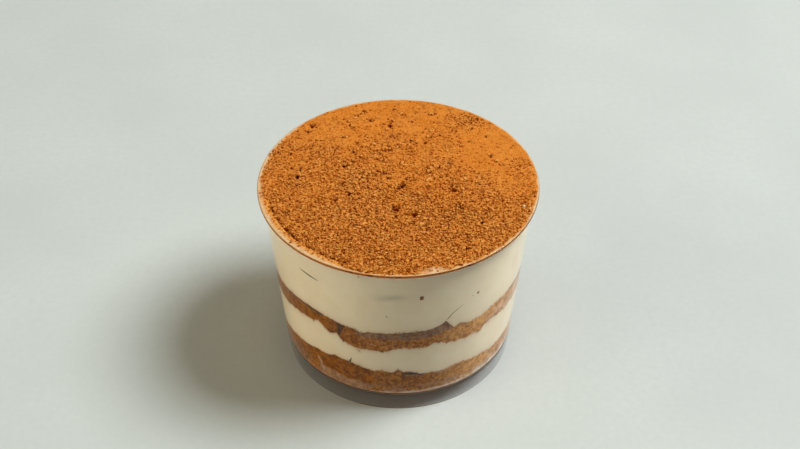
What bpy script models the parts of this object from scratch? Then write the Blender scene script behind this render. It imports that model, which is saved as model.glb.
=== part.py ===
"""Tiramisu built up in its clear cup.

The cup is one turned piece: a tapered wall, a thin lip, and a floor that stands clear of the table
on a hollow skirt. Two soaked sponge layers and two cream layers fill it to the lip, and a sifting of
cocoa closes the top. Each layer is one solid, and neighbours meet along an uneven seam.

Metres, +Z up, -Y towards the front, origin at the centre of the cup's foot.
"""

import math

import bpy

# Driving dimensions.
RIM_RADIUS = 0.0450
CUP_HEIGHT = 0.0652
WALL_TOP_RADIUS = 0.0435
FOOT_RADIUS = 0.0381
WALL = 0.0012
FLOOR_TOP = 0.0081
LIP_THICKNESS = 0.0008
LIP_ROUNDING = 0.0003
FOOT_ROUNDING = 0.0004
SKIRT_FILLET = 0.0008
COCOA_THICKNESS = 0.0010
COCOA_CROWN = 0.0007
COCOA_MOUNDS = 0.0002
GAP = 0.0003

# Every piece is turned in the same number of steps, so their flats line up and the gaps stay even.
STEPS = 72
RING_SHARES = (0.30, 0.62, 0.86, 1.0)
COCOA_RING_SHARES = (0.18, 0.38, 0.58, 0.76, 0.90, 0.97, 1.0)

# A seam is a mean height and the swells that the sponge fingers press into it where they meet the
# wall. A swell is (azimuth in degrees, half width in degrees, rise in metres). Azimuth 0 is the
# front and grows towards +X.
LOWER_SPONGE_TOP = (
    0.0149,
    (
        (-29, 28, 0.0056),
        (1, 6, 0.0024),
        (29, 19, 0.0025),
        (96, 24, 0.0031),
        (150, 20, 0.0040),
        (-158, 17, 0.0022),
        (-112, 20, 0.0034),
    ),
)
UPPER_SPONGE_BOTTOM = (
    0.0305,
    (
        (-61, 14, 0.0019),
        (-41, 7, 0.0034),
        (-28, 3, 0.0024),
        (-13, 9, -0.0020),
        (17, 6, 0.0005),
        (38, 4, -0.0009),
        (88, 16, 0.0014),
        (125, 12, -0.0015),
        (168, 18, 0.0018),
        (-140, 12, -0.0012),
        (-100, 15, 0.0012),
    ),
)
UPPER_SPONGE_TOP = (
    0.0377,
    (
        (-49, 11, 0.0018),
        (-14, 8, -0.0012),
        (13, 6, 0.0005),
        (21, 3, 0.0026),
        (37, 11, -0.0012),
        (80, 14, 0.0012),
        (118, 10, -0.0009),
        (158, 16, 0.0015),
        (-152, 12, -0.0010),
        (-105, 18, 0.0014),
    ),
)
CREAM_TOP = (CUP_HEIGHT - COCOA_THICKNESS, ())
FLOOR = (FLOOR_TOP + GAP / 2, ())


def lip_underside():
    """The height at which the lip leaves the wall."""
    return CUP_HEIGHT - LIP_THICKNESS


def outer_wall(height):
    """The outside radius of the tapered wall at a height."""
    return FOOT_RADIUS + (WALL_TOP_RADIUS - FOOT_RADIUS) * height / lip_underside()


def inner_wall(height):
    """The inside radius of the tapered wall at a height."""
    return outer_wall(height) - WALL


def arc(centre, radius, start_deg, end_deg, segments=2):
    """Points of (radius, height) along a corner's rounding."""
    points = []
    for i in range(segments + 1):
        angle = math.radians(start_deg + (end_deg - start_deg) * i / segments)
        points.append((centre[0] + radius * math.cos(angle), centre[1] + radius * math.sin(angle)))
    return points


def seam_height(seam, azimuth, share):
    """A seam's height. The swells fade from the wall (share 1) to the middle (share 0)."""
    mean, swells = seam
    rise = 0.0
    for centre, half_width, height in swells:
        away = (azimuth - centre + 180.0) % 360.0 - 180.0
        rise += height * math.exp(-((away / half_width) ** 2))
    return mean + rise * share**3


def cocoa_relief(x, y, share):
    """The soft mounds that sifting leaves, and the slight drop where the cocoa meets the wall."""
    mounds = math.sin(95 * x + 40 * y + 0.6) * math.cos(120 * y - 55 * x)
    crown = COCOA_CROWN * (1.0 - share**4)
    return crown + COCOA_MOUNDS * mounds * (1.0 - share**6)


def plain_material(name, colour, roughness, alpha=1.0):
    """A Principled material in one colour."""
    material = bpy.data.materials.new(name)
    material.use_nodes = True
    shader = material.node_tree.nodes["Principled BSDF"]
    shader.inputs["Base Color"].default_value = (*colour, 1.0)
    shader.inputs["Roughness"].default_value = roughness
    shader.inputs["Metallic"].default_value = 0.0
    shader.inputs["Alpha"].default_value = alpha
    material.diffuse_color = (*colour, alpha)
    return material


def turned(name, outline, collection, material):
    """Turns an outline of (radius, height) about +Z and returns the object."""
    mesh = bpy.data.meshes.new(name)
    points = [(radius, 0.0, height) for radius, height in outline]
    edges = [(i, i + 1) for i in range(len(points) - 1)]
    mesh.from_pydata(points, edges, [])
    piece = bpy.data.objects.new(name, mesh)
    collection.objects.link(piece)
    piece.data.materials.append(material)
    screw = piece.modifiers.new("turn", "SCREW")
    screw.axis = "Z"
    screw.angle = 2.0 * math.pi
    screw.steps = STEPS
    screw.render_steps = STEPS
    screw.use_merge_vertices = True
    screw.merge_threshold = 0.000001
    return piece


def cup_outline():
    """The cup's section, from the middle of its floor, up the inside, over the lip and back under."""
    top = CUP_HEIGHT
    under = lip_underside()
    floor_under = FLOOR_TOP - WALL
    skirt_inside = FOOT_RADIUS - WALL
    outline = [(0.0, FLOOR_TOP), (inner_wall(FLOOR_TOP), FLOOR_TOP)]
    outline += arc((inner_wall(top) + LIP_ROUNDING, top - LIP_ROUNDING), LIP_ROUNDING, 180, 90)
    outline += arc((RIM_RADIUS - LIP_ROUNDING, top - LIP_ROUNDING), LIP_ROUNDING, 90, 0)
    outline += arc((RIM_RADIUS - LIP_ROUNDING, under + LIP_ROUNDING), LIP_ROUNDING, 0, -90)
    outline += arc((outer_wall(under) + LIP_ROUNDING, under - LIP_ROUNDING), LIP_ROUNDING, 90, 180, 1)
    outline += arc((FOOT_RADIUS - FOOT_ROUNDING, FOOT_ROUNDING), FOOT_ROUNDING, 0, -90)
    outline += arc((skirt_inside + FOOT_ROUNDING, FOOT_ROUNDING), FOOT_ROUNDING, -90, -180, 1)
    fillet_centre = (inner_wall(floor_under) - SKIRT_FILLET, floor_under - SKIRT_FILLET)
    outline += arc(fillet_centre, SKIRT_FILLET, 0, 90)
    outline.append((0.0, floor_under))
    return outline


def disc_outline(ring_shares):
    """A blank for a layer: a unit disc with rings over and under, heights 1 and 0."""
    over = [(0.0, 1.0)] + [(share, 1.0) for share in ring_shares]
    under = [(share, 0.0) for share in reversed(ring_shares)] + [(0.0, 0.0)]
    return over + under


def layer(name, under_seam, over_seam, collection, material, ring_shares=RING_SHARES, relief=None):
    """One layer of food: a turned blank whose points are then set between two seams and the wall."""
    blank = turned(name, disc_outline(ring_shares), collection, material)
    evaluated = blank.evaluated_get(bpy.context.evaluated_depsgraph_get())
    shaped = bpy.data.meshes.new_from_object(evaluated)
    blank.modifiers.clear()
    blank.data = shaped
    for vertex in shaped.vertices:
        share = math.hypot(vertex.co.x, vertex.co.y)
        azimuth = math.degrees(math.atan2(vertex.co.x, -vertex.co.y))
        on_top = vertex.co.z > 0.5
        seam = over_seam if on_top else under_seam
        height = seam_height(seam, azimuth, share) + (-GAP / 2 if on_top else GAP / 2)
        reach = inner_wall(height) - GAP
        vertex.co.x *= reach
        vertex.co.y *= reach
        vertex.co.z = height
        if on_top and relief:
            vertex.co.z += GAP / 2 + relief(vertex.co.x, vertex.co.y, share)
    return blank


def clear_scene():
    """Starts from an empty scene."""
    for item in list(bpy.data.objects):
        bpy.data.objects.remove(item, do_unlink=True)


def build():
    """Makes the cup and the five layers it holds."""
    clear_scene()
    collection = bpy.data.collections.new("tiramisu_cup")
    bpy.context.scene.collection.children.link(collection)

    clear_plastic = plain_material("clear_plastic", (0.93, 0.95, 0.95), 0.08, alpha=0.25)
    soaked_sponge = plain_material("soaked_sponge", (0.25, 0.11, 0.04), 0.85)
    mascarpone_cream = plain_material("mascarpone_cream", (0.72, 0.63, 0.46), 0.55)
    cocoa = plain_material("cocoa", (0.48, 0.19, 0.05), 0.95)

    cup = turned("cup", cup_outline(), collection, clear_plastic)
    layer("lower_sponge", FLOOR, LOWER_SPONGE_TOP, collection, soaked_sponge)
    layer("lower_cream", LOWER_SPONGE_TOP, UPPER_SPONGE_BOTTOM, collection, mascarpone_cream)
    layer("upper_sponge", UPPER_SPONGE_BOTTOM, UPPER_SPONGE_TOP, collection, soaked_sponge)
    layer("upper_cream", UPPER_SPONGE_TOP, CREAM_TOP, collection, mascarpone_cream)
    rim_level = (CUP_HEIGHT, ())
    layer("cocoa_dusting", CREAM_TOP, rim_level, collection, cocoa, COCOA_RING_SHARES, cocoa_relief)

    for piece in collection.objects:
        if piece is not cup:
            piece.data.shade_smooth()
            piece.data.set_sharp_from_angle(angle=math.radians(40))


build()
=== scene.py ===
# %% [markdown]
# # A tiramisu in its clear cup
# This lesson dresses a finished set of solids: a clear plastic cup that holds two layers of coffee-
# soaked sponge and two of mascarpone cream, closed by a sifting of cocoa. The solids fix every size.
# Each step below replaces one of them with a fine mesh and gives it a finish made from nodes.

# %% Load the frame
import math

import bmesh
import bpy
import numpy as np
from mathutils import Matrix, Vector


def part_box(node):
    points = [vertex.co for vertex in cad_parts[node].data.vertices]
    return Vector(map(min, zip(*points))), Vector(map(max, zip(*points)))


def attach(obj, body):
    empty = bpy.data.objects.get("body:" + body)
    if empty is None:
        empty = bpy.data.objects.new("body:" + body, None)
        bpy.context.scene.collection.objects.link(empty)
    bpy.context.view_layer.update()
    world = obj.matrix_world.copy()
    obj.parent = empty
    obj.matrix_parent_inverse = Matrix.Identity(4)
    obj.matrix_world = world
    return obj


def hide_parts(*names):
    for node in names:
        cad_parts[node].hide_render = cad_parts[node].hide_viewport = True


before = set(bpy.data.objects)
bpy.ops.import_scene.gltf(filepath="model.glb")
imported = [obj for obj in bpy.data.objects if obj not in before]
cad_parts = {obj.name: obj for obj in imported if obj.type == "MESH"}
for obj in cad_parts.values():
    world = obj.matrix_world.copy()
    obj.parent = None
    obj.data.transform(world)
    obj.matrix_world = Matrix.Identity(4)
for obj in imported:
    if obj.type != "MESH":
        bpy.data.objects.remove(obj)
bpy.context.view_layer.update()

print("solids:", sorted(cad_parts))

# %% [markdown]
# ## Measures
# A real cup is designed from a few radii: the lip, the wall just under it, and the foot. The lip and
# the height are read from the solid cup, and the floor from the sponge that lies on it. The wall is a
# straight taper, so one line gives its radius at any height.

# %% Measures of the cup
MM = 0.001
GAP = 0.3 * MM
RIM_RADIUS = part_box("cup")[1][0]
CUP_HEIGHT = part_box("cup")[1][2]
FLOOR_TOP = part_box("lower_sponge")[0][2] - GAP
WALL_TOP_RADIUS = 43.5 * MM
FOOT_RADIUS = 38.1 * MM
WALL = 1.2 * MM
LIP_THICKNESS = 0.8 * MM
LIP_UNDERSIDE = CUP_HEIGHT - LIP_THICKNESS


def outer_wall(height):
    """The outside radius of the tapered wall at a height."""
    return FOOT_RADIUS + (WALL_TOP_RADIUS - FOOT_RADIUS) * height / LIP_UNDERSIDE


def inner_wall(height):
    """The inside radius of the tapered wall at a height."""
    return outer_wall(height) - WALL


print(f"lip {2.0 * RIM_RADIUS / MM:.1f} mm across, {CUP_HEIGHT / MM:.1f} mm high")
print(f"floor at {FLOOR_TOP / MM:.1f} mm")

# %% [markdown]
# ## Smooth steps and noise
# Food is uneven at every scale, so most shapes here are a plain surface plus noise. Blender has noise
# in its materials, but relief that should hold up in a side view has to be in the mesh. Two kinds are
# enough: soft lumps, and round cells that look like grains pressed together. Both work on points in
# space, so they have no seam where a turned surface closes.

# %% Helpers for uneven surfaces
def step(low, high, value):
    """Rises smoothly from 0 at low to 1 at high."""
    t = np.clip((value - low) / (high - low), 0.0, 1.0)
    return t * t * (3.0 - 2.0 * t)


def band(low, high, soft, value):
    """1 between low and high, falling to 0 over the soft distance outside."""
    return step(low - soft, low, value) * (1.0 - step(high, high + soft, value))


def within(depth, far, soft):
    """1 from the edge down to far, falling to 0 over the soft distance beyond, all in mm."""
    return 1.0 - step(far * MM, (far + soft) * MM, depth)


def clipped(**values):
    """Painted values by name, clipped to the range from 0 to 1."""
    return {key: np.clip(value, 0.0, 1.0) for key, value in values.items()}


def turn_between(azimuth, centre):
    """The signed angle in degrees from centre to azimuth."""
    return (azimuth - centre + 180.0) % 360.0 - 180.0


def chance(cells, seed):
    """A repeatable value from 0 to 1 for each whole-number cell."""
    mixed = (cells * np.array([73856093, 19349663, 83492791])).sum(axis=-1) + seed * 7919
    mixed = (mixed ^ (mixed >> 13)) & 0x7FFFFFFF
    mixed = (mixed * 1274126177) & 0x7FFFFFFF
    mixed = (mixed ^ (mixed >> 15)) & 0x7FFFFFFF
    return mixed / float(0x7FFFFFFF)


def lumps(points, size, seed):
    """Soft noise from -1 to 1. size is about one lump across."""
    place = np.asarray(points) / size
    cell = np.floor(place).astype(np.int64)
    part = place - cell
    part = part * part * (3.0 - 2.0 * part)
    total = np.zeros(part.shape[:-1])
    for corner in np.ndindex(2, 2, 2):
        share = np.where(np.array(corner) == 1, part, 1.0 - part).prod(axis=-1)
        total += share * chance(cell + np.array(corner), seed)
    return 2.0 * total - 1.0


def grains(x, y, size, seed):
    """Round grains packed in a plane, as a dome height from 0 to 1."""
    cell = np.stack([np.floor(x / size), np.floor(y / size), np.zeros_like(x)], axis=-1)
    cell = cell.astype(np.int64)
    height = np.zeros_like(x)
    for across in (-1, 0, 1):
        for along in (-1, 0, 1):
            near = cell + np.array([across, along, 0])
            centre_x = (near[..., 0] + 0.15 + 0.7 * chance(near, seed)) * size
            centre_y = (near[..., 1] + 0.15 + 0.7 * chance(near, seed + 1)) * size
            radius = size * (0.45 + 0.4 * chance(near, seed + 2))
            reach = np.clip(1.0 - ((x - centre_x) ** 2 + (y - centre_y) ** 2) / radius**2, 0.0, 1.0)
            height = np.maximum(height, np.sqrt(reach) * radius / size)
    return height


print("noise at the origin:", round(float(lumps([[0.0, 0.0, 0.0]], 0.01, 1)[0]), 3))

# %% [markdown]
# ## Turning points into pieces
# Every piece here is either a ring of points carried round the cup or a grid of points over the top.
# One helper makes the mesh, stores any painted values on its points, shades it smooth, sets it on the
# root body and hides the solid it stands for.

# %% Helpers for meshes
def make_piece(name, points, faces, material, painted=None, replaces=None):
    """A mesh object on the root body. painted holds values from 0 to 1 for each point, by name."""
    mesh = bpy.data.meshes.new(name)
    mesh.from_pydata(np.asarray(points).tolist(), [], faces)
    mesh.validate()
    mesh.shade_smooth()
    for layer_name, values in (painted or {}).items():
        layer = mesh.attributes.new(layer_name, "FLOAT", "POINT")
        layer.data.foreach_set("value", np.asarray(values, dtype=np.float32))
    piece = bpy.data.objects.new(name, mesh)
    bpy.context.scene.collection.objects.link(piece)
    mesh.materials.append(material)
    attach(piece, "root")
    if replaces:
        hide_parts(replaces)
    print(f"{name}: {len(mesh.vertices)} points, {len(mesh.polygons)} faces")
    return piece


def ring_faces(rings, columns, capped):
    """Quads between stacked rings of points, and fans to two end points if capped."""
    faces = []
    for ring in range(rings - 1):
        for column in range(columns):
            after = (column + 1) % columns
            low, high = ring * columns, (ring + 1) * columns
            faces.append((low + column, low + after, high + after, high + column))
    if capped:
        first, last = rings * columns, rings * columns + 1
        top = (rings - 1) * columns
        for column in range(columns):
            after = (column + 1) % columns
            faces.append((first, after, column))
            faces.append((last, top + column, top + after))
    return faces


# %% [markdown]
# ## Seams between the layers
# The baker lays sponge fingers side by side and spreads cream over them, so each seam seen through
# the wall is a level line with soft swells where a finger end presses up or down. A seam is a mean
# height, a list of swells, and how ragged its edge is. The fine noise fades towards the middle of the
# cup, where nothing shows.

# %% Seams
class Seam:
    """An uneven line round the wall: its mean height, its swells and its raggedness."""

    def __init__(self, mean, swells=(), ragged=0.0, spikes=(), seed=1):
        self.mean = mean
        self.swells = swells
        self.ragged = ragged
        self.spikes = spikes
        self.seed = seed

    def height(self, azimuth, share=1.0):
        """The seam's height at an azimuth in degrees. share is 0 in the middle and 1 at the wall."""
        rise = np.zeros_like(azimuth)
        for centre, half_width, height in self.swells:
            rise = rise + height * MM * np.exp(-((turn_between(azimuth, centre) / half_width) ** 2))
        for centre, before, after, height in self.spikes:
            away = turn_between(azimuth, centre)
            rise = rise + height * MM * np.exp(-np.abs(away) / np.where(away < 0.0, before, after))
        angle = np.radians(azimuth)
        on_wall = np.stack([np.sin(angle), -np.cos(angle), np.zeros_like(angle)], axis=-1) * RIM_RADIUS
        torn = 0.35 * lumps(on_wall, 2.4 * MM, self.seed) + 0.4 * lumps(on_wall, 1.0 * MM, self.seed + 5)
        torn += 0.25 * lumps(on_wall, 0.5 * MM, self.seed + 9)
        return self.mean * MM + (rise + self.ragged * MM * torn) * share**3


FLOOR_SEAM = Seam(FLOOR_TOP / MM - 0.2)
LOWER_SPONGE_TOP = Seam(
    14.9,
    (
        (-58.5, 10, 1.6), (-39.5, 14.5, 4.2), (-29.5, 4, 1.1), (-20, 12.5, 4.2), (-7.5, 4, 1.8),
        (-0.5, 1.5, 1.4), (3.5, 8.5, 3.7), (15.5, 3.5, 1.0), (29, 11.5, 2.6), (43, 4.5, 0.7),
        (96, 24, 3.1), (150, 20, 4.0), (-158, 17, 2.2), (-112, 20, 3.4),
    ),
    ragged=0.5,
    seed=11,
)
UPPER_SPONGE_BOTTOM = Seam(
    30.5,
    (
        (-44.5, 13.5, 2.7), (-38.5, 2.5, 1.6), (-29, 1.5, 1.7), (-21.5, 5, -1.3), (-11, 9, -2.3),
        (3.5, 2, 0.4), (12, 4, -0.7), (16, 3, 0.8), (31.5, 6.5, -1.3), (39.5, 2, -1.2), (46, 3.5, 0.8),
        (88, 16, 1.4), (125, 12, -1.5), (168, 18, 1.8), (-140, 12, -1.2), (-100, 15, 1.2),
    ),
    ragged=0.75,
    seed=23,
)
UPPER_SPONGE_TOP = Seam(
    37.7,
    (
        (-50, 11, 1.3), (-37.5, 8.5, 1.0), (-16.5, 2, -0.9), (-13.5, 9.5, -0.7), (25.5, 1.5, -1.1),
        (28.7, 1.5, 0.4), (36.5, 8, -1.8),
        (80, 14, 1.2), (118, 10, -0.9), (158, 16, 1.5), (-152, 12, -1.0), (-105, 18, 1.4),
    ),
    ragged=0.35,
    spikes=((21.2, 4.0, 1.6, 3.2), (133, 2.0, 4.5, 2.4)),
    seed=37,
)
CREAM_TOP = Seam(64.3)

for label, seam in (("lower sponge top", LOWER_SPONGE_TOP), ("upper sponge top", UPPER_SPONGE_TOP)):
    print(label, "at the front:", round(float(seam.height(np.array([0.0]))[0]) / MM, 1), "mm")

# %% [markdown]
# ## Node helpers
# Materials are built in code, so two small helpers keep them readable: one places a node and wires its
# inputs, the other mixes two colours by a factor.

# %% Helpers for nodes
def place(tree, kind, inputs=None, **settings):
    """Adds a node, applies its settings, and fills or links its inputs by name or number."""
    made = tree.nodes.new(kind)
    for key, value in settings.items():
        setattr(made, key, value)
    for key, value in (inputs or {}).items():
        if isinstance(value, bpy.types.NodeSocket):
            tree.links.new(value, made.inputs[key])
        else:
            made.inputs[key].default_value = value
    return made


def mix_colour(tree, factor, first, second, mode="MIX"):
    """Mixes two colours. Each value is a number, a colour or another node's output."""
    inputs = {0: factor, 6: first, 7: second}
    made = place(tree, "ShaderNodeMix", inputs, data_type="RGBA", blend_type=mode)
    return made.outputs[2]


def rescale(tree, value, low, high, new_low=0.0, new_high=1.0):
    """Maps a value from one range to another and clamps it."""
    inputs = {"Value": value, "From Min": low, "From Max": high, "To Min": new_low, "To Max": new_high}
    return place(tree, "ShaderNodeMapRange", inputs).outputs["Result"]


def noise(tree, size, detail=2.0, roughness=0.5, stretch=(1.0, 1.0, 1.0)):
    """Noise in object space. size is about one lump across, in metres."""
    spot = place(tree, "ShaderNodeTexCoord").outputs["Object"]
    scaled = place(tree, "ShaderNodeMapping", {"Vector": spot, "Scale": stretch}).outputs["Vector"]
    inputs = {"Vector": scaled, "Scale": 1.0 / size, "Detail": detail, "Roughness": roughness}
    return place(tree, "ShaderNodeTexNoise", inputs).outputs["Fac"]


def painted_value(tree, name):
    """A value that was painted on the mesh's points."""
    return place(tree, "ShaderNodeAttribute", attribute_name=name).outputs["Fac"]


def srgb(red, green, blue):
    """A screen colour from 0 to 255 as the linear colour that shaders use."""
    linear = []
    for value in (red, green, blue):
        share = value / 255.0
        linear.append(share / 12.92 if share <= 0.04045 else ((share + 0.055) / 1.055) ** 2.4)
    return (*linear, 1.0)


def new_material(name):
    """A material with a Principled shader, and its node tree and shader."""
    material = bpy.data.materials.new(name)
    material.use_nodes = True
    return material, material.node_tree, material.node_tree.nodes["Principled BSDF"]


# %% [markdown]
# ## A shared group: crumb
# Sponge, and the crumbs that fall from it, share one look: pale walls of crumb around small dark
# pores, at two scales. The group gives a colour between three tones and a height for the bump, and
# each material sets its own tones.

# %% Node group for crumb
def crumb_group():
    """Open crumb: Dark, Middle and Light tones in, Color, Height and broad Drift out."""
    group = bpy.data.node_groups.new("open crumb", "ShaderNodeTree")
    for name in ("Dark", "Middle", "Light"):
        group.interface.new_socket(name=name, in_out="INPUT", socket_type="NodeSocketColor")
    group.interface.new_socket(name="Color", in_out="OUTPUT", socket_type="NodeSocketColor")
    group.interface.new_socket(name="Height", in_out="OUTPUT", socket_type="NodeSocketFloat")
    group.interface.new_socket(name="Drift", in_out="OUTPUT", socket_type="NodeSocketFloat")
    tones = group.nodes.new("NodeGroupInput").outputs
    fine = noise(group, 1.05 * MM, detail=4.0, roughness=0.65, stretch=(1.0, 1.0, 0.85))
    coarse = noise(group, 2.4 * MM, detail=3.0, roughness=0.6, stretch=(1.0, 1.0, 0.8))
    light = rescale(group, fine, 0.50, 0.62)
    dark = rescale(group, fine, 0.50, 0.40)
    colour = mix_colour(group, light, tones["Middle"], tones["Light"])
    colour = mix_colour(group, dark, colour, tones["Dark"])
    patchy = rescale(group, coarse, 0.45, 0.62, 0.0, 0.4)
    colour = mix_colour(group, patchy, colour, tones["Middle"])
    result = group.nodes.new("NodeGroupOutput")
    group.links.new(colour, result.inputs["Color"])
    group.links.new(fine, result.inputs["Height"])
    group.links.new(coarse, result.inputs["Drift"])
    return group


CRUMB = crumb_group()
print("group made:", CRUMB.name)

# %% [markdown]
# ## A shared group: powder
# Cocoa dries into clumps, so its colour is a sandy orange with darker hollows. The top, the dust on
# the lip and the loose clumps all use this group. The mesh carries the large relief, and the group's
# height adds the finest grain.

# %% Node group for powder
def powder_group():
    """Dry powder: Light and Dark tones in, Color and Height out."""
    group = bpy.data.node_groups.new("dry powder", "ShaderNodeTree")
    for name in ("Light", "Dark"):
        group.interface.new_socket(name=name, in_out="INPUT", socket_type="NodeSocketColor")
    group.interface.new_socket(name="Color", in_out="OUTPUT", socket_type="NodeSocketColor")
    group.interface.new_socket(name="Height", in_out="OUTPUT", socket_type="NodeSocketFloat")
    tones = group.nodes.new("NodeGroupInput").outputs
    fine = noise(group, 0.35 * MM, detail=3.0, roughness=0.65)
    middle = noise(group, 0.8 * MM, detail=2.0)
    drift = noise(group, 9.0 * MM, detail=2.0)
    speckle = rescale(group, fine, 0.38, 0.62)
    colour = mix_colour(group, speckle, tones["Dark"], tones["Light"])
    drifted = rescale(group, drift, 0.35, 0.65, 0.0, 0.35)
    colour = mix_colour(group, drifted, colour, tones["Light"])
    result = group.nodes.new("NodeGroupOutput")
    group.links.new(colour, result.inputs["Color"])
    group.links.new(mix_colour(group, 0.6, fine, middle), result.inputs["Height"])
    return group


POWDER = powder_group()
print("group made:", POWDER.name)

# %% [markdown]
# ## Clear plastic
# The cup is injection-moulded and clear. A Principled shader with full transmission bends what is
# seen through it, which is what makes the food appear to fill the wall. Lamps don't find their way
# through bent glass well, so a Light Path node lets shadow rays pass straight through. Handling and
# sifting leave a faint haze, so roughness changes a little over the surface. The skirt under the floor
# has only shade behind it, so the plastic's colour is darkened there with painted shade. It gets a
# twin of the material that lets scattered rays pass too, so that it doesn't gather the lamp into a
# bright ring on the floor.

# %% Clear plastic material
SKIRT_TOP = FLOOR_TOP - 0.5 * MM


def clear_plastic_material(name, straight_rays):
    """Glossy clear plastic that lets the named rays pass without bending."""
    material, tree, shader = new_material(name)
    haze = noise(tree, 6.0 * MM, detail=3.0)
    tree.links.new(rescale(tree, haze, 0.4, 0.7, 0.02, 0.06), shader.inputs["Roughness"])
    spot = place(tree, "ShaderNodeTexCoord").outputs["Object"]
    height = place(tree, "ShaderNodeSeparateXYZ", {"Vector": spot}).outputs["Z"]
    # Below the floor the plastic's colour is darkened: painted shade for the shadow under the cup behind
    # it.
    skirt = rescale(tree, height, SKIRT_TOP + 0.3 * MM, SKIRT_TOP - 0.7 * MM)
    plastic_tint_and_skirt_shade = mix_colour(tree, skirt, (0.95, 0.94, 0.92, 1.0), (0.59, 0.59, 0.635, 1.0))
    tree.links.new(plastic_tint_and_skirt_shade, shader.inputs["Base Color"])
    shader.inputs["IOR"].default_value = 1.49
    shader.inputs["Transmission Weight"].default_value = 1.0
    shader.inputs["Specular Tint"].default_value = (0.12, 0.12, 0.12, 1.0)
    passing = place(tree, "ShaderNodeBsdfTransparent", {"Color": (0.94, 0.93, 0.91, 1.0)})
    path = place(tree, "ShaderNodeLightPath")
    seen = shader.outputs["BSDF"]
    for ray in straight_rays:
        inputs = {0: path.outputs[ray], 1: seen, 2: passing.outputs["BSDF"]}
        seen = place(tree, "ShaderNodeMixShader", inputs).outputs["Shader"]
    tree.links.new(seen, tree.nodes["Material Output"].inputs["Surface"])
    return material


clear_plastic = clear_plastic_material("clear plastic", ["Is Shadow Ray"])
skirt_plastic = clear_plastic_material("clear plastic skirt", ["Is Diffuse Ray", "Is Shadow Ray"])

# %% [markdown]
# ## The cup
# A moulded cup is a body of revolution, so it starts as a section: along the floor, up the inside,
# over the lip, down the outside, round the foot and back under the floor. A Screw modifier turns it.
# Every corner is an arc, because a moulded edge is never sharp and its rounding catches the light.
# A short extra point beside each arc keeps the smooth shading on the flats straight.

# %% Cup
CUP_STEPS = 256
LIP_ROUND = 0.3 * MM
FOOT_ROUND = 0.4 * MM
FLOOR_FILLET = 0.8 * MM


def arc(centre, radius, start_deg, end_deg, segments=6):
    """Points of (radius, height) along a rounding."""
    points = []
    for i in range(segments + 1):
        angle = math.radians(start_deg + (end_deg - start_deg) * i / segments)
        points.append((centre[0] + radius * math.cos(angle), centre[1] + radius * math.sin(angle)))
    return points


def cup_section():
    """The cup's outline from the middle of its floor round to the middle of its underside."""
    floor_under = FLOOR_TOP - WALL
    skirt_inside = FOOT_RADIUS - WALL
    beside = 0.25 * MM
    section = [(0.0, FLOOR_TOP), (0.5 * FOOT_RADIUS, FLOOR_TOP), (inner_wall(FLOOR_TOP), FLOOR_TOP)]
    on_the_way = (0.3 * CUP_HEIGHT, 0.6 * CUP_HEIGHT)
    for height in (FLOOR_TOP + beside, *on_the_way, CUP_HEIGHT - LIP_ROUND - beside):
        section.append((inner_wall(height), height))
    section += arc((inner_wall(CUP_HEIGHT) + LIP_ROUND, CUP_HEIGHT - LIP_ROUND), LIP_ROUND, 180, 90)
    section.append((inner_wall(CUP_HEIGHT) + LIP_ROUND + beside, CUP_HEIGHT))
    section.append((RIM_RADIUS - LIP_ROUND - beside, CUP_HEIGHT))
    section += arc((RIM_RADIUS - LIP_ROUND, CUP_HEIGHT - LIP_ROUND), LIP_ROUND, 90, 0)
    section += arc((RIM_RADIUS - LIP_ROUND, LIP_UNDERSIDE + LIP_ROUND), LIP_ROUND, 0, -90)
    corner = (outer_wall(LIP_UNDERSIDE) + LIP_ROUND, LIP_UNDERSIDE - LIP_ROUND)
    section += arc(corner, LIP_ROUND, 90, 180)
    for height in (
        LIP_UNDERSIDE - LIP_ROUND - beside, *reversed(on_the_way), SKIRT_TOP, FOOT_ROUND + beside,
    ):
        section.append((outer_wall(height), height))
    section += arc((FOOT_RADIUS - FOOT_ROUND, FOOT_ROUND), FOOT_ROUND, 0, -90)
    section += arc((skirt_inside + FOOT_ROUND, FOOT_ROUND), FOOT_ROUND, -90, -180)
    section.append((skirt_inside, FOOT_ROUND + beside))
    fillet = (inner_wall(floor_under) - FLOOR_FILLET, floor_under - FLOOR_FILLET)
    section.append((fillet[0] + FLOOR_FILLET, fillet[1] - beside))
    section += arc(fillet, FLOOR_FILLET, 0, 90)
    section += [(fillet[0] - beside, floor_under), (0.5 * FOOT_RADIUS, floor_under), (0.0, floor_under)]
    return section


def turned(name, section, steps):
    """Turns a section about +Z with a Screw modifier and returns the finished mesh's object."""
    outline = bpy.data.meshes.new(name)
    edges = [(i, i + 1) for i in range(len(section) - 1)]
    outline.from_pydata([(radius, 0.0, height) for radius, height in section], edges, [])
    piece = bpy.data.objects.new(name, outline)
    bpy.context.scene.collection.objects.link(piece)
    screw = piece.modifiers.new("turn", "SCREW")
    screw.steps = steps
    screw.render_steps = steps
    screw.use_merge_vertices = True
    screw.merge_threshold = 1e-6
    evaluated = piece.evaluated_get(bpy.context.evaluated_depsgraph_get())
    mesh = bpy.data.meshes.new_from_object(evaluated)
    piece.modifiers.clear()
    piece.data = mesh
    mesh.shade_smooth()
    mesh.set_sharp_from_angle(angle=math.radians(50))
    return piece


clear_cup = turned("clear_cup", cup_section(), CUP_STEPS)
clear_cup.data.materials.append(clear_plastic)
clear_cup.data.materials.append(skirt_plastic)
for face in clear_cup.data.polygons:
    face.material_index = int(face.center.z < SKIRT_TOP)
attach(clear_cup, "root")
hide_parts("cup")
print("clear_cup:", len(clear_cup.data.polygons), "faces")

# %% [markdown]
# ## Shaping a layer
# A layer is a stack of rings: in from the middle over its underside, up its side, and back to the
# middle over its top. Rows lie closest together near the seams, where colours change fastest. The side
# reaches just into the wall, so that no air shows between food and plastic, and relief on the side
# stays within that reach for the same reason.

# %% Layer builder
REACH = 0.35 * MM
WALL_COLUMNS = 840
INNER_SHARES = (0.35, 0.7, 0.9, 0.98)


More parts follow.
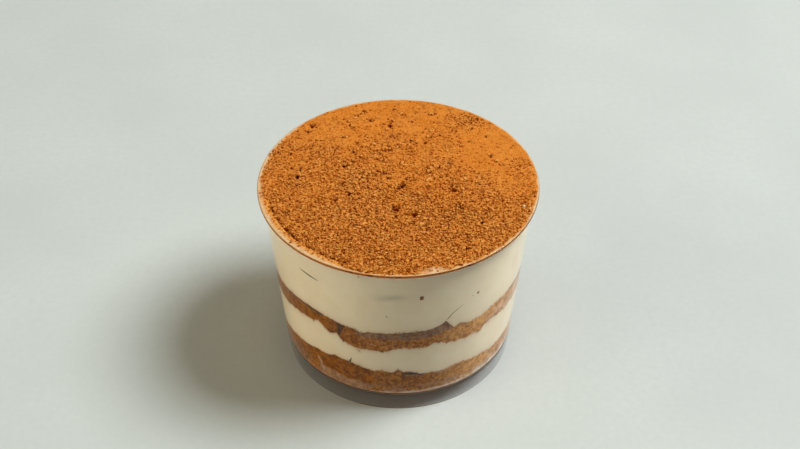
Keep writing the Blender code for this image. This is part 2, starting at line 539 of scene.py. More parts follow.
def wall_layer(name, under, over, columns, rows, material, node, relief=None, paint=None):
    """One layer between two seams. relief gives a depth in metres, paint gives values by name."""
    azimuth = np.degrees(2.0 * math.pi * np.arange(columns) / columns) - 180.0
    rings = [(share, 0.0) for share in INNER_SHARES]
    rings += [(1.0, 0.5 - 0.5 * math.cos(math.pi * row / rows)) for row in range(rows + 1)]
    rings += [(share, 1.0) for share in reversed(INNER_SHARES)]
    share = np.array([ring[0] for ring in rings])[:, None]
    level = np.array([ring[1] for ring in rings])[:, None]
    turn = np.broadcast_to(azimuth, (len(rings), columns))
    low = under.height(turn, share)
    high = over.height(turn, share)
    height = low + (high - low) * level
    on_side = (share == 1.0) & np.ones_like(turn, dtype=bool)
    reach = inner_wall(height) + REACH
    if relief:
        reach = reach - np.where(on_side, relief(turn, height, low, high), 0.0)
    radius = share * reach
    angle = np.radians(turn)
    points = np.stack([radius * np.sin(angle), -radius * np.cos(angle), height], axis=-1).reshape(-1, 3)
    middle = [[0.0, 0.0, float(low[0].mean())], [0.0, 0.0, float(high[-1].mean())]]
    points = np.concatenate([points, middle])
    painted = {}
    for key, values in (paint(turn, height, low, high) if paint else {}).items():
        values = np.where(on_side, values, 0.0).reshape(-1)
        painted[key] = np.concatenate([values, [0.0, 0.0]])
    faces = ring_faces(len(rings), columns, capped=True)
    return make_piece(name, points, faces, material, painted, node)


def wall_points(turn, height):
    """Points on the wall's inside, for noise."""
    angle = np.radians(turn)
    radius = inner_wall(height)
    return np.stack([radius * np.sin(angle), -radius * np.cos(angle), height], axis=-1)


# %% [markdown]
# ## Mascarpone cream
# The cream is whipped smooth and pressed flat by the wall, so its side is almost even: a pale, warm
# off-white with faint mottling. Next to the sponge it takes up a little coffee and lies in soft shade.
# One painted value on the mesh holds that coffee tint with painted shade; others mark a grey smudge,
# and a pale halo round one crumb.

# %% Cream material
def cream_material():
    """Smooth pale cream, browner at its edges with coffee and painted shade."""
    material, tree, shader = new_material("mascarpone cream")
    mottle = noise(tree, 7.0 * MM, detail=4.0)
    fine = noise(tree, 0.9 * MM, detail=2.0)
    colour = mix_colour(tree, rescale(tree, mottle, 0.3, 0.7), srgb(249, 234, 206), srgb(252, 240, 217))
    colour = mix_colour(tree, rescale(tree, fine, 0.3, 0.7, 0.0, 0.15), colour, srgb(241, 222, 188))
    colour = mix_colour(tree, painted_value(tree, "coffee"), colour, srgb(188, 134, 72))
    colour = mix_colour(tree, painted_value(tree, "smudge"), colour, srgb(168, 158, 136))
    colour = mix_colour(tree, painted_value(tree, "halo"), colour, srgb(246, 236, 214))
    tree.links.new(colour, shader.inputs["Base Color"])
    tree.links.new(rescale(tree, fine, 0.3, 0.7, 0.5, 0.62), shader.inputs["Roughness"])
    bump = place(tree, "ShaderNodeBump", {"Height": fine, "Strength": 0.15, "Distance": 0.1 * MM})
    tree.links.new(bump.outputs["Normal"], shader.inputs["Normal"])
    return material


cream = cream_material()

# %% Cream layers
def spot(turn, height, azimuth, level, width, tall):
    """A soft oval spot on the wall: width and tall are half sizes in metres."""
    across = np.radians(turn_between(turn, azimuth)) * inner_wall(height) / width
    along = (height - level) / tall
    return np.exp(-(across**2 + along**2))


def streak(turn, height, start, end, width):
    """A soft straight streak between two (azimuth, height in mm) places on the wall."""
    radius = inner_wall(0.5 * (start[1] + end[1]) * MM)
    x = np.radians(turn_between(turn, start[0])) * radius
    y = height - start[1] * MM
    run_x = math.radians(end[0] - start[0]) * radius
    run_y = (end[1] - start[1]) * MM
    along = np.clip((x * run_x + y * run_y) / (run_x**2 + run_y**2), 0.0, 1.0)
    away = np.hypot(x - along * run_x, y - along * run_y)
    return np.exp(-((away / width) ** 2))


def cream_paint(turn, height, low, high):
    """Coffee and painted shade creeping in from both seams, and the few marks on the front."""
    blotch = 0.5 + 0.5 * lumps(wall_points(turn, height), 3.0 * MM, 51)
    from_sponge = np.where(high > 60.0 * MM, height - low, np.minimum(height - low, high - height))
    near = 0.5 + 0.5 * lumps(wall_points(turn, height), 1.1 * MM, 53)
    # Browner next to the sponge: coffee taken up from it, and painted shade along the seam.
    coffee = 0.9 * np.exp(-from_sponge / (0.5 * MM)) * (0.15 + 0.85 * near)
    coffee += 0.25 * np.exp(-from_sponge / (1.6 * MM)) * blotch
    for azimuth in (59.5, 62.5):
        coffee += 0.16 * streak(turn, height, (azimuth, 47.6), (azimuth - 0.6, 52.6), 0.6 * MM)
    smudge = 0.5 * spot(turn, height, -2.0, 54.0 * MM, 3.4 * MM, 1.1 * MM)
    smudge += 0.3 * spot(turn, height, -7.0, 53.2 * MM, 2.2 * MM, 0.7 * MM)
    smudge += 0.04 * step(0.55, 0.95, blotch)
    halo = 0.8 * spot(turn, height, 35.5, 48.9 * MM, 1.2 * MM, 0.9 * MM)
    halo += 0.5 * spot(turn, height, 31.8, 48.4 * MM, 0.8 * MM, 0.6 * MM)
    return clipped(coffee=coffee, smudge=smudge, halo=halo)


def cream_relief(turn, height, low, high):
    """The cream's side is all but even: a few hundredths of a millimetre of lumps."""
    return 0.03 * MM * (1.0 + lumps(wall_points(turn, height), 2.5 * MM, 61))


wall_layer(
    "lower_cream_fill", LOWER_SPONGE_TOP, UPPER_SPONGE_BOTTOM, WALL_COLUMNS, 24,
    cream, "lower_cream", cream_relief, cream_paint,
)
wall_layer(
    "upper_cream_fill", UPPER_SPONGE_TOP, CREAM_TOP, WALL_COLUMNS, 40,
    cream, "upper_cream", cream_relief, cream_paint,
)

# %% [markdown]
# ## Soaked sponge
# The fingers have drunk coffee, so the crumb is brown and moist. Where a finger's smooth side lies on
# the wall it looks like caramel; where the cut crumb does, it is speckled. On the right, where the lamp
# falls, the crumb is painted lighter: painted light. Its top drinks in cream and turns grey. A pale line
# lies along the floor, partly a film of cream and partly a painted highlight of the floor's edge, and
# the gap where two fingers meet is dark with coffee and painted shade. Those zones are painted as values
# on the mesh, and the material gives each zone two tones of its own.

# %% Sponge material
def sponge_material():
    """Coffee-soaked crumb in caramel, grey, pale and dark zones; some zones carry painted light and
    shade.
    """
    material, tree, shader = new_material("soaked sponge")
    tones = {"Dark": srgb(122, 66, 4), "Middle": srgb(176, 108, 28), "Light": srgb(216, 152, 78)}
    crumb = place(tree, "ShaderNodeGroup", node_tree=CRUMB)
    for name, tone in tones.items():
        crumb.inputs[name].default_value = tone
    fine = crumb.outputs["Height"]
    drift = rescale(tree, crumb.outputs["Drift"], 0.4, 0.6)
    grain = mix_colour(tree, 0.5, rescale(tree, fine, 0.42, 0.58), drift)
    # One zone lightens the right side, where the lamp falls: painted light. The pale film zone is partly
    # a painted highlight of the floor's edge, and the dark zone is partly painted shade in the gaps
    # between fingers.
    zone_tones = {
        "caramel": (srgb(108, 50, 0), srgb(188, 114, 4)),
        "peach": (srgb(196, 132, 62), srgb(250, 196, 124)),
        "soaked": (srgb(122, 90, 74), srgb(168, 134, 110)),
        "smear": (srgb(160, 118, 92), srgb(206, 164, 134)),
        "film": (srgb(220, 198, 184), srgb(244, 230, 220)),
        "dark": (srgb(64, 42, 34), srgb(90, 66, 56)),
    }
    colour = crumb.outputs["Color"]
    for zone, (low_tone, high_tone) in zone_tones.items():
        tone = mix_colour(tree, grain, low_tone, high_tone)
        colour = mix_colour(tree, painted_value(tree, zone), colour, tone)
    tree.links.new(colour, shader.inputs["Base Color"])
    tree.links.new(rescale(tree, fine, 0.3, 0.7, 0.5, 0.8), shader.inputs["Roughness"])
    shader.inputs["Specular IOR Level"].default_value = 0.05
    bump = place(tree, "ShaderNodeBump", {"Height": fine, "Strength": 0.5, "Distance": 0.25 * MM})
    tree.links.new(bump.outputs["Normal"], shader.inputs["Normal"])
    return material


sponge = sponge_material()

# %% Sponge layers
def sponge_relief(turn, height, low, high):
    """Pores and pressed crumb, all within the reach into the wall."""
    points = wall_points(turn, height)
    pores = step(0.25, 0.8, lumps(points, 0.8 * MM, 71))
    swell = 0.5 + 0.5 * lumps(points, 2.2 * MM, 73)
    return 0.12 * MM * pores + 0.08 * MM * swell


def finger_gap_shade(turn, height, azimuth, top, bottom, width_deg, lean):
    """The dark wedge between two fingers, coffee with painted shade: widest at its top, leaning as it
    closes towards its bottom.
    """
    up = np.clip((height - bottom * MM) / ((top - bottom) * MM), 0.0, 1.3)
    centre = azimuth + lean * (1.0 - up)
    half = width_deg * (0.25 + 0.75 * up**1.5)
    inside = 1.0 - step(0.6, 1.25, np.abs(turn_between(turn, centre)) / half)
    return inside * step(bottom * MM - 0.9 * MM, bottom * MM + 0.4 * MM, height)


def upper_sponge_paint(turn, height, low, high):
    """The upper fingers: caramel on the left, painted light on the right, a grey soaked top in front,
    gaps with painted shade, and more behind.
    """
    points = wall_points(turn, height)
    waver = lumps(points, 2.6 * MM, 81)
    fleck = lumps(points, 0.9 * MM, 85)
    upright = lumps(points * np.array([1.0, 1.0, 0.4]), 0.8 * MM, 87)
    depth = high - height
    above = height - low
    caramel = band(-78, -27, 2.0, turn) + 0.7 * band(-25, -19, 3.0, turn) + band(96, 140, 5.0, turn)
    caramel = caramel * np.clip(0.85 + 0.3 * waver + 0.25 * fleck, 0.0, 1.0)
    border = (34.5 + 1.2 * step(12, 22, turn) + 0.4 * waver + 0.35 * upright) * MM
    soaked = band(-18.5, 25, 1.5, turn) * step(border - 0.4 * MM, border + 0.4 * MM, height)
    behind = band(62, 92, 4.0, turn) + band(-165, -124, 4.0, turn)
    soaked += behind * within(depth + 0.4 * MM * waver, 0.9, 0.7)
    skin = band(-60, -36.5, 2.0, turn) + band(136, 178, 4.0, turn)
    soaked += 0.65 * skin * within(depth + 0.5 * MM * waver, 0.9, 1.0)
    soaked += 0.6 * band(27, 32, 1.5, turn) * within(depth, 0.5, 0.7)
    soaked = soaked * (0.8 + 0.2 * fleck + 0.25 * upright)
    dark = 0.35 * skin * within(depth + 0.2 * MM * waver, 0.4, 0.6)
    dark += 0.5 * band(-44, -37, 1.5, turn) * within(depth + 0.4 * MM * waver, 0.7, 0.9)
    # The gaps between fingers: coffee with painted shade.
    dark += 0.9 * finger_gap_shade(turn, height, -26.0, 37.6, 31.8, 2.7, -1.8)
    dark += finger_gap_shade(turn, height, 142.0, 38.6, 34.5, 1.8, 0.8)
    dark += finger_gap_shade(turn, height, -118.0, 38.0, 34.0, 1.6, 0.8)
    dark += 0.35 * soaked * within(depth, 0.3, 0.6)
    dark += 0.3 * spot(turn, height, 20.8, 38.8 * MM, 1.8 * MM, 1.6 * MM)
    on_border = np.exp(-(((height - border) / (0.4 * MM)) ** 2))
    dark += 0.3 * band(-17, 24, 2.0, turn) * on_border * step(-0.2, 0.5, fleck)
    # Lighter on the right, where the lamp falls: painted light.
    peach = 0.8 * band(34, 100, 24.0, turn) * np.clip(0.75 + 0.45 * waver, 0.0, 1.0)
    smear = 0.5 * band(44, 64, 4.0, turn) * within(above + 0.4 * MM * waver, 0.8, 1.4)
    smear += 0.35 * within(above, 0.1, 0.6) * step(-0.2, 0.6, waver)
    smear += 0.4 * step(0.35, 0.8, fleck) * (1.0 - caramel)
    film = 0.4 * within(above, 0.0, 0.4) * step(0.0, 0.5, fleck)
    film += 0.4 * within(depth, 0.0, 0.35) * step(0.1, 0.6, fleck)
    film += 0.25 * band(50, 75, 6.0, turn) * step(-0.2, 0.6, waver)
    return clipped(
        caramel=caramel, peach=peach, soaked=soaked, dark=dark, smear=smear, film=film,
    )


def lower_sponge_paint(turn, height, low, high):
    """The lower fingers: caramel on the left, painted light on the right, cream smeared along the floor
    with a painted highlight of the floor's edge, streaks in front.
    """
    points = wall_points(turn, height)
    waver = lumps(points, 2.6 * MM, 91)
    fleck = lumps(points, 0.9 * MM, 95)
    layered = lumps(points * np.array([0.3, 0.3, 1.0]), 1.1 * MM, 93)
    around = turn % 360.0
    above = height - low
    depth = high - height
    edge = (12.4 - 1.6 * step(-32, -12, turn) + 0.9 * waver + 0.3 * fleck) * MM
    upper_part = step(edge - 0.5 * MM, edge + 0.5 * MM, height)
    caramel = band(-66, -16, 6.0, turn) + 0.45 * band(-16, 14, 4.0, turn) + band(84, 128, 6.0, turn)
    caramel = caramel * upper_part
    caramel = caramel * np.clip(0.85 + 0.3 * fleck + 0.2 * waver, 0.0, 1.0)
    caramel += 0.8 * spot(turn, height, -42.5, 10.6 * MM, 0.9 * MM, 1.7 * MM)
    smear = 0.85 * band(-40, -15, 3.0, turn) * (1.0 - upper_part) * (0.85 + 0.25 * fleck)
    smear += 0.6 * step(-0.05, 0.5, layered) * within(above, 3.0, 2.0) * band(-14, 75, 8.0, turn)
    smear += 0.5 * step(0.15, 0.7, layered) * within(above, 2.6, 1.8) * band(100, 290, 10.0, around)
    smear += 0.4 * band(18, 24, 2.0, turn) * within(depth, 0.6, 1.0)
    smear += 0.4 * step(0.4, 0.8, fleck) * (1.0 - caramel)
    soaked = 0.8 * band(-74, -52, 3.0, turn) * (1.0 - upper_part) * (0.8 + 0.3 * fleck)
    soaked += 0.5 * spot(turn, height, 0.3, 19.0 * MM, 1.0 * MM, 0.9 * MM)
    soaked += 0.3 * step(0.3, 0.8, waver) * (1.0 - caramel)
    sliver = 1.3 - 0.09 * (turn - 3.0)
    beside_sliver = band(2.8, 11.5, 0.7, turn)
    soaked += 0.75 * beside_sliver * within(depth - sliver * MM, 0.5, 0.8)
    # Lighter on the right, where the lamp falls: painted light.
    peach = 0.9 * band(32, 100, 18.0, turn) * np.clip(0.8 + 0.4 * waver, 0.0, 1.0)
    # A pale line along the floor: partly a film of cream, partly a painted highlight of the floor's
    # edge.
    floor_line_width = (0.7 + 0.35 * band(2, 70, 6.0, turn) + 0.2 * waver + 0.3 * fleck) * MM
    strength = 0.12 + 0.3 * band(-12, 62, 6.0, turn) + 0.45 * band(3, 45, 3.0, turn)
    strength += 0.4 * band(120, 200, 10.0, around)
    on_floor_line = 1.0 - step(floor_line_width - 0.3 * MM, floor_line_width + 0.3 * MM, above)
    film = strength * on_floor_line * (0.8 + 0.3 * layered)
    film += 0.9 * spot(turn, height, 41.5, 9.3 * MM, 1.5 * MM, 0.8 * MM)
    low_streak = within(above + 0.6 * MM * waver, 1.6, 1.2) * step(-0.3, 0.5, fleck)
    film += 0.45 * band(25, 66, 5.0, turn) * low_streak
    film += 0.3 * band(50, 75, 6.0, turn) * step(-0.3, 0.6, waver)
    film += 0.55 * streak(turn, height, (-41.5, 15.3), (-38.8, 10.5), 0.45 * MM)
    film += 0.3 * within(depth, 0.0, 0.35) * step(0.1, 0.6, fleck)
    dark = 0.85 * beside_sliver * within(depth - sliver * MM, 0.0, 0.35)
    dark += 0.35 * streak(turn, height, (-51.5, 9.4), (-48.5, 14.0), 0.5 * MM)
    dark += 0.3 * streak(turn, height, (-55.0, 9.8), (-53.0, 12.4), 0.35 * MM)
    dark += 0.35 * within(depth, 0.1, 0.5) * step(-0.1, 0.5, waver)
    return clipped(
        caramel=caramel, peach=peach, soaked=soaked, dark=dark, smear=smear, film=film,
    )


wall_layer(
    "lower_sponge_fingers", FLOOR_SEAM, LOWER_SPONGE_TOP, WALL_COLUMNS, 36,
    sponge, "lower_sponge", sponge_relief, lower_sponge_paint,
)
wall_layer(
    "upper_sponge_fingers", UPPER_SPONGE_BOTTOM, UPPER_SPONGE_TOP, WALL_COLUMNS, 34,
    sponge, "upper_sponge", sponge_relief, upper_sponge_paint,
)

# %% [markdown]
# ## Crumbs along the seams
# A knife drags crumbs out of the sponge and into the cream, so no seam is clean. Small uneven balls of
# sponge are pressed between cream and wall, just on the cream's side of each seam.

# %% Ball scatter
def ball(subdivisions):
    """The points and faces of a small ball."""
    shape = bmesh.new()
    bmesh.ops.create_icosphere(shape, subdivisions=subdivisions, radius=1.0)
    points = np.array([vertex.co[:] for vertex in shape.verts])
    faces = np.array([[vertex.index for vertex in face.verts] for face in shape.faces])
    shape.free()
    return points, faces


def scatter(name, centres, radii, subdivisions, seed, flatten, material, tones=None):
    """Joins one uneven ball for each centre into one piece. tones holds each ball's own darker tone and
    the strength of the painted shade on its lower half, which is also its grain.
    """
    draw = np.random.default_rng(seed)
    base, base_faces = ball(subdivisions)
    all_points, all_faces, hollow, grain = [], [], [], []
    # Painted shade on the lower half of each ball.
    shade = 1.0 - step(-0.9, 0.2, base[:, 2])
    for number, (centre, radius) in enumerate(zip(centres, radii)):
        dents = 1.0 + draw.uniform(-0.22, 0.22, len(base))
        squash = draw.uniform(0.75, 1.2, 3) * np.array([1.0, 1.0, flatten])
        turn = draw.uniform(0.0, 2.0 * math.pi)
        shaped = base * dents[:, None] * squash * radius
        spun_x = shaped[:, 0] * math.cos(turn) - shaped[:, 1] * math.sin(turn)
        spun_y = shaped[:, 0] * math.sin(turn) + shaped[:, 1] * math.cos(turn)
        all_points.append(np.stack([spun_x, spun_y, shaped[:, 2]], axis=-1) + centre)
        all_faces.append(base_faces + number * len(base))
        if tones is not None:
            hollow.append(np.maximum(shade * tones[1][number], tones[0][number]))
            grain.append(np.full(len(base), tones[1][number]))
    painted = {"hollow": np.concatenate(hollow), "grain": np.concatenate(grain)} if hollow else None
    faces = np.concatenate(all_faces).tolist()
    return make_piece(name, np.concatenate(all_points), faces, material, painted)


def on_wall(azimuth, height, depth):
    """Points beside the wall, at a depth behind the food's own surface."""
    angle = np.radians(azimuth)
    radius = inner_wall(height) + REACH - depth
    return np.stack([radius * np.sin(angle), -radius * np.cos(angle), height], axis=-1)


# %% Seam crumbs
SEAM_CRUMBS = 300


def seam_crumb_places():
    """Random places just on the cream's side of the three seams, and a radius for each."""
    draw = np.random.default_rng(211)
    azimuth = draw.uniform(-180.0, 180.0, SEAM_CRUMBS)
    radii = (0.13 + 0.22 * draw.random(SEAM_CRUMBS) ** 2) * MM
    away = (0.05 + 0.55 * draw.random(SEAM_CRUMBS) ** 2) * MM
    which = draw.integers(0, 3, SEAM_CRUMBS)
    levels = [LOWER_SPONGE_TOP.height(azimuth) + away, UPPER_SPONGE_BOTTOM.height(azimuth) - away]
    levels.append(UPPER_SPONGE_TOP.height(azimuth) + away)
    return on_wall(azimuth, np.choose(which, levels), 0.55 * radii), radii


centres, radii = seam_crumb_places()
scatter("seam_crumbs", centres, radii, 2, 213, 1.0, sponge)

# %% [markdown]
# ## The cocoa top
# Sifted cocoa lands as clumps and leaves pits, finer at the back and coarser towards the front. It
# also covers the lip, as a thin drift that thins to an uneven edge. The whole relief is one height
# function of place, so that the loose clumps can be set on it later. The grid of points is a square
# bent into a disc, which keeps its cells even right up to the round edge.

# %% Cocoa height
COCOA_LEVEL = CUP_HEIGHT + 0.05 * MM
INSIDE = inner_wall(CUP_HEIGHT)
COCOA_EDGE = RIM_RADIUS - 0.2 * MM
PITS = (
    (-31.9, 5.6, 0.9), (-32.6, 2.6, 0.8), (-17.4, 7.9, 0.9), (-15.5, -6.1, 1.1), (-19.7, -9.2, 1.1),
    (-0.7, -13.8, 1.2), (1.6, -2.3, 1.2), (5.3, -16.1, 1.0), (18.8, -12.2, 1.2), (17.8, -4.3, 1.0),
    (9.5, 6.6, 0.8), (10.5, -9.9, 1.0), (20.7, -31.9, 0.8), (-2.6, 29.6, 0.9), (-28.6, 29.9, 0.9),
    (-11.8, 38.5, 0.8), (-9.2, 33.2, 0.7), (-4.6, -21.5, 0.8), (25.6, -20.4, 0.8), (-12.0, 1.5, 0.7),
)
SMALL_PITS = 180


def flat(x, y):
    """Places in the plane as points, for noise."""
    return np.stack([x, y, np.zeros_like(x)], axis=-1)


def coarseness(x, y):
    """1 where the cocoa is grainy, all over the front half, and near 0 at the back."""
    drift = lumps(flat(x, y), 8.0 * MM, 101)
    across = (0.3 * x + 0.95 * y) / INSIDE
    patches = lumps(flat(x, y), 3.5 * MM, 105)
    back_patch = np.exp(-(np.hypot(x - 23.0 * MM, y - 33.0 * MM) / (5.0 * MM)) ** 2)
    left_calm = np.exp(-(np.hypot(x + 38.0 * MM, y + 2.0 * MM) / (15.0 * MM)) ** 2)
    front = 0.9 * (1.0 - step(-0.55, 0.85, across)) + 0.6 * back_patch - 0.35 * left_calm
    return np.clip(0.06 + front + 0.22 * drift + 0.14 * patches, 0.03, 1.0)


def pitted(x, y):
    """1 left of the middle, where the cocoa has sunk into pits and ridges, and near 0 far from there."""
    away = np.hypot(x + 8.0 * MM, y - 2.0 * MM) / (27.0 * MM)
    return np.clip(0.03 + np.exp(-(away**2)) + 0.2 * lumps(flat(x, y), 6.0 * MM, 103), 0.02, 1.0)


def pit_places():
    """The few large pits, then many small ones that are commoner where the cocoa is pitted."""
    places = [(x * MM, y * MM, 1.35 * radius * MM, 1.1 * MM) for x, y, radius in PITS]
    draw = np.random.default_rng(7)
    while len(places) < len(PITS) + SMALL_PITS:
        x, y = draw.uniform(-1.0, 1.0, 2) * 0.95 * INSIDE
        keep, size = draw.random(2)
        if math.hypot(x, y) < 0.95 * INSIDE and keep < float(pitted(np.array([x]), np.array([y]))[0]):
            places.append((x, y, (0.35 + 0.5 * size**2) * MM, (0.35 + 0.5 * size) * MM))
    return places


def crack(x, y):
    """The gap that opened between the cocoa and the wall round the front left, and its short notch."""
    radius = np.hypot(x, y)
    azimuth = np.degrees(np.arctan2(x, -y))
    line = INSIDE - 0.75 * MM + 0.18 * MM * lumps(flat(x, y), 1.6 * MM, 111)
    wider = step(-0.3, 0.4, lumps(flat(x, y), 3.0 * MM, 113))
    open_here = band(-71, -24, 5.0, azimuth) * (0.7 + 0.3 * wider)
    ring = open_here * np.exp(-(((radius - line) / (0.42 * MM)) ** 2))
    notch = np.exp(-(((azimuth + 72.5) / 0.5) ** 2))
    notch = notch * band(line - 0.6 * MM, line + 0.8 * MM, 0.3 * MM, radius)
    return np.maximum(ring, notch)


def smooth_rim(x, y):
    """1 on the smooth drift over the lip: broad beside the crack at the front left, else narrow."""
    radius = np.hypot(x, y)
    azimuth = np.degrees(np.arctan2(x, -y))
    start = INSIDE + 1.7 * MM - 2.1 * MM * band(-76, -26, 6.0, azimuth)
    start += 0.5 * MM * lumps(flat(x, y), 2.5 * MM, 117)
    return step(start - 0.3 * MM, start + 0.5 * MM, radius)


def cocoa_height(x, y):
    """The cocoa's height all over, and the painted shade of each place: in a pit, a crack or between
    grains.
    """
    radius = np.hypot(x, y)
    even = smooth_rim(x, y)
    coarse = coarseness(x, y) * (1.0 - even)
    spread = 0.35 * MM * lumps(flat(x, y), 1.3 * MM, 141)
    sunk = pitted(x, y) * (1.0 - even)
    mound = 0.14 * lumps(flat(x, y), 11.0 * MM, 121)
    mound += (0.08 + 0.4 * sunk) * lumps(flat(x, y), 3.0 * MM, 123)
    mound += (0.05 + 0.2 * sunk) * lumps(flat(x, y), 1.7 * MM, 125)
    line = 1.0 - step(0.0, 0.2, np.abs(lumps(flat(x, y), 3.6 * MM, 107)))
    chain = line * step(-0.1, 0.5, lumps(flat(x, y), 1.6 * MM, 109)) * sunk
    large = grains(x + spread, y - spread, 1.25 * MM, 131)
    small = grains(x - spread, y, 0.72 * MM, 143)
    rough = (0.08 + 0.3 * coarse) * large + (0.08 + 0.2 * coarse) * small
    rough = rough * (1.0 - 0.85 * even)
    height = COCOA_LEVEL + (mound + rough - 0.10 - 0.28 * coarse - 0.55 * chain) * MM
    shade = 0.37 + 0.1 * lumps(flat(x, y), 2.2 * MM, 127) + 0.15 * coarse**1.5
    # Painted shade: between the grains, and below in chains, pits and the crack.
    hollow = shade * (1.0 - 0.6 * step(0.10, 0.6, large + 0.3 * small)) * (1.0 - even) + 0.1 * even
    hollow = np.maximum(hollow, 1.1 * chain)
    for centre_x, centre_y, size, depth in pit_places():
        near = (np.abs(x - centre_x) < 2.0 * size) & (np.abs(y - centre_y) < 2.0 * size)
        uneven = 1.0 + 0.5 * lumps(flat(x, y)[near], 0.9 * MM, 161)
        away = np.hypot(x[near] - centre_x, y[near] - centre_y) / (size * uneven)
        dip = np.exp(-(away**2) * 1.6) * (0.75 + 0.25 * lumps(flat(x, y)[near], 0.5 * MM, 163))
        height[near] -= depth * dip
        hollow[near] = np.maximum(hollow[near], 1.5 * dip * depth / (0.8 * MM))
    gap = crack(x, y)
    height -= 0.8 * MM * gap
    over_lip = step(INSIDE - 0.6 * MM, INSIDE + 0.2 * MM, radius)
    across = np.clip((radius - INSIDE) / (COCOA_EDGE - INSIDE), 0.0, 1.0)
    drift = (0.24 * (1.0 - across) ** 0.8 + 0.05) * MM
    drift += 0.05 * MM * lumps(flat(x, y), 3.0 * MM, 175) * (1.0 - across)
    edge_drop = np.clip(radius - (RIM_RADIUS - LIP_ROUND), 0.0, LIP_ROUND)
    lip_top = CUP_HEIGHT - (LIP_ROUND - np.sqrt(LIP_ROUND**2 - edge_drop**2))
    on_lip = lip_top + drift + rough * MM * 0.5 * (1.0 - across)
    height = height * (1.0 - over_lip) + on_lip * over_lip
    return height, np.clip(np.maximum(hollow, 1.25 * gap), 0.0, 1.0)


# %% [markdown]
# ## Cocoa finish
# Cocoa is matt and scatters light inside its clumps, so it has no gloss at all. A painted value
# darkens the hollows and the undersides of the clumps, where light hardly reaches: painted shade. Noise
# adds painted highlights on the grains and painted shade between them, where the cocoa is coarse.
# Another value makes the drift on the lip paler towards its edge, partly where the powder is thin and
# partly as a painted highlight of the lip.

# %% Cocoa material
def cocoa_material():
    """Matt powder in two tones, with painted shade in hollows and between grains, painted highlights on
    grains, and paler at the lip's edge.
    """
    material, tree, shader = new_material("cocoa")
    powder = place(tree, "ShaderNodeGroup", node_tree=POWDER)
    powder.inputs["Light"].default_value = srgb(252, 162, 70)
    powder.inputs["Dark"].default_value = srgb(210, 108, 14)
    grain = painted_value(tree, "grain")
    # Noise paints highlights on the grains and shade between them where the cocoa is coarse: painted
    # highlight and painted shade.
    highlight_and_shade_noise = noise(tree, 0.75 * MM, detail=2.0, roughness=0.6)
    lit = rescale(tree, highlight_and_shade_noise, 0.50, 0.63, 0.0, 0.95)
    painted_highlight = mix_colour(tree, lit, powder.outputs["Color"], srgb(255, 188, 100))
    colour = mix_colour(tree, grain, powder.outputs["Color"], painted_highlight)
    painted_shade_between = mix_colour(tree, rescale(tree, highlight_and_shade_noise, 0.47, 0.35, 0.0, 0.9), colour, srgb(120, 26, 0))
    colour = mix_colour(tree, rescale(tree, grain, 0.05, 0.7), colour, painted_shade_between)
    # Painted shade in the hollows and on the undersides of the clumps.
    colour = mix_colour(tree, painted_value(tree, "hollow"), colour, srgb(96, 16, 0))
    # Paler at the lip's edge: thin powder, with a painted highlight of the lip.
    colour = mix_colour(tree, painted_value(tree, "thin_and_lip_highlight"), colour, srgb(240, 204, 158))
    tree.links.new(colour, shader.inputs["Base Color"])
    shader.inputs["Roughness"].default_value = 1.0
    shader.inputs["Specular IOR Level"].default_value = 0.0
    rough = rescale(tree, grain, 0.0, 1.0, 0.2, 1.0)
    height = place(tree, "ShaderNodeMath", {0: powder.outputs["Height"], 1: rough}, operation="MULTIPLY")
    inputs = {"Height": height.outputs["Value"], "Strength": 0.8, "Distance": 0.5 * MM}
    bump = place(tree, "ShaderNodeBump", inputs)
    tree.links.new(bump.outputs["Normal"], shader.inputs["Normal"])
    return material


cocoa = cocoa_material()

# %% Cocoa top
COCOA_CELLS = 304


def disc_grid(cells):
    """Points of a square grid bent into a disc of radius 1 with even cells."""
    side = np.linspace(-1.0, 1.0, cells + 1)
    u, v = np.meshgrid(side, side, indexing="ij")
    wide = np.abs(u) >= np.abs(v)
    reach = np.where(wide, u, v)
    other = np.where(wide, v, u)
    ratio = np.divide(other, reach, out=np.zeros_like(reach), where=reach != 0.0)
    angle = 0.25 * math.pi * ratio
    x = np.where(wide, reach * np.cos(angle), reach * np.sin(angle))
    y = np.where(wide, reach * np.sin(angle), reach * np.cos(angle))
    return x, y


def thin_powder_and_lip_highlight(x, y):
    """1 where the lip looks pale, from thin powder and a painted highlight of the lip: along the edge,
    broader on the left, and in one bare place by the wall.
    """
    radius = np.hypot(x, y)
    azimuth = np.degrees(np.arctan2(x, -y))
    width = 0.5 * MM + 0.9 * MM * band(-125, -30, 14.0, azimuth)
    width += 0.35 * MM * lumps(flat(x, y), 2.2 * MM, 177)
    edge = step(COCOA_EDGE - 1.3 * width, COCOA_EDGE - 0.35 * width, radius)
    bare = np.exp(-(((azimuth - 14.0) / 4.0) ** 2)) * step(INSIDE - 0.5 * MM, INSIDE + 1.0 * MM, radius)
    return np.clip(edge * (0.8 + 0.2 * lumps(flat(x, y), 1.0 * MM, 179)) + 0.8 * bare, 0.0, 1.0)


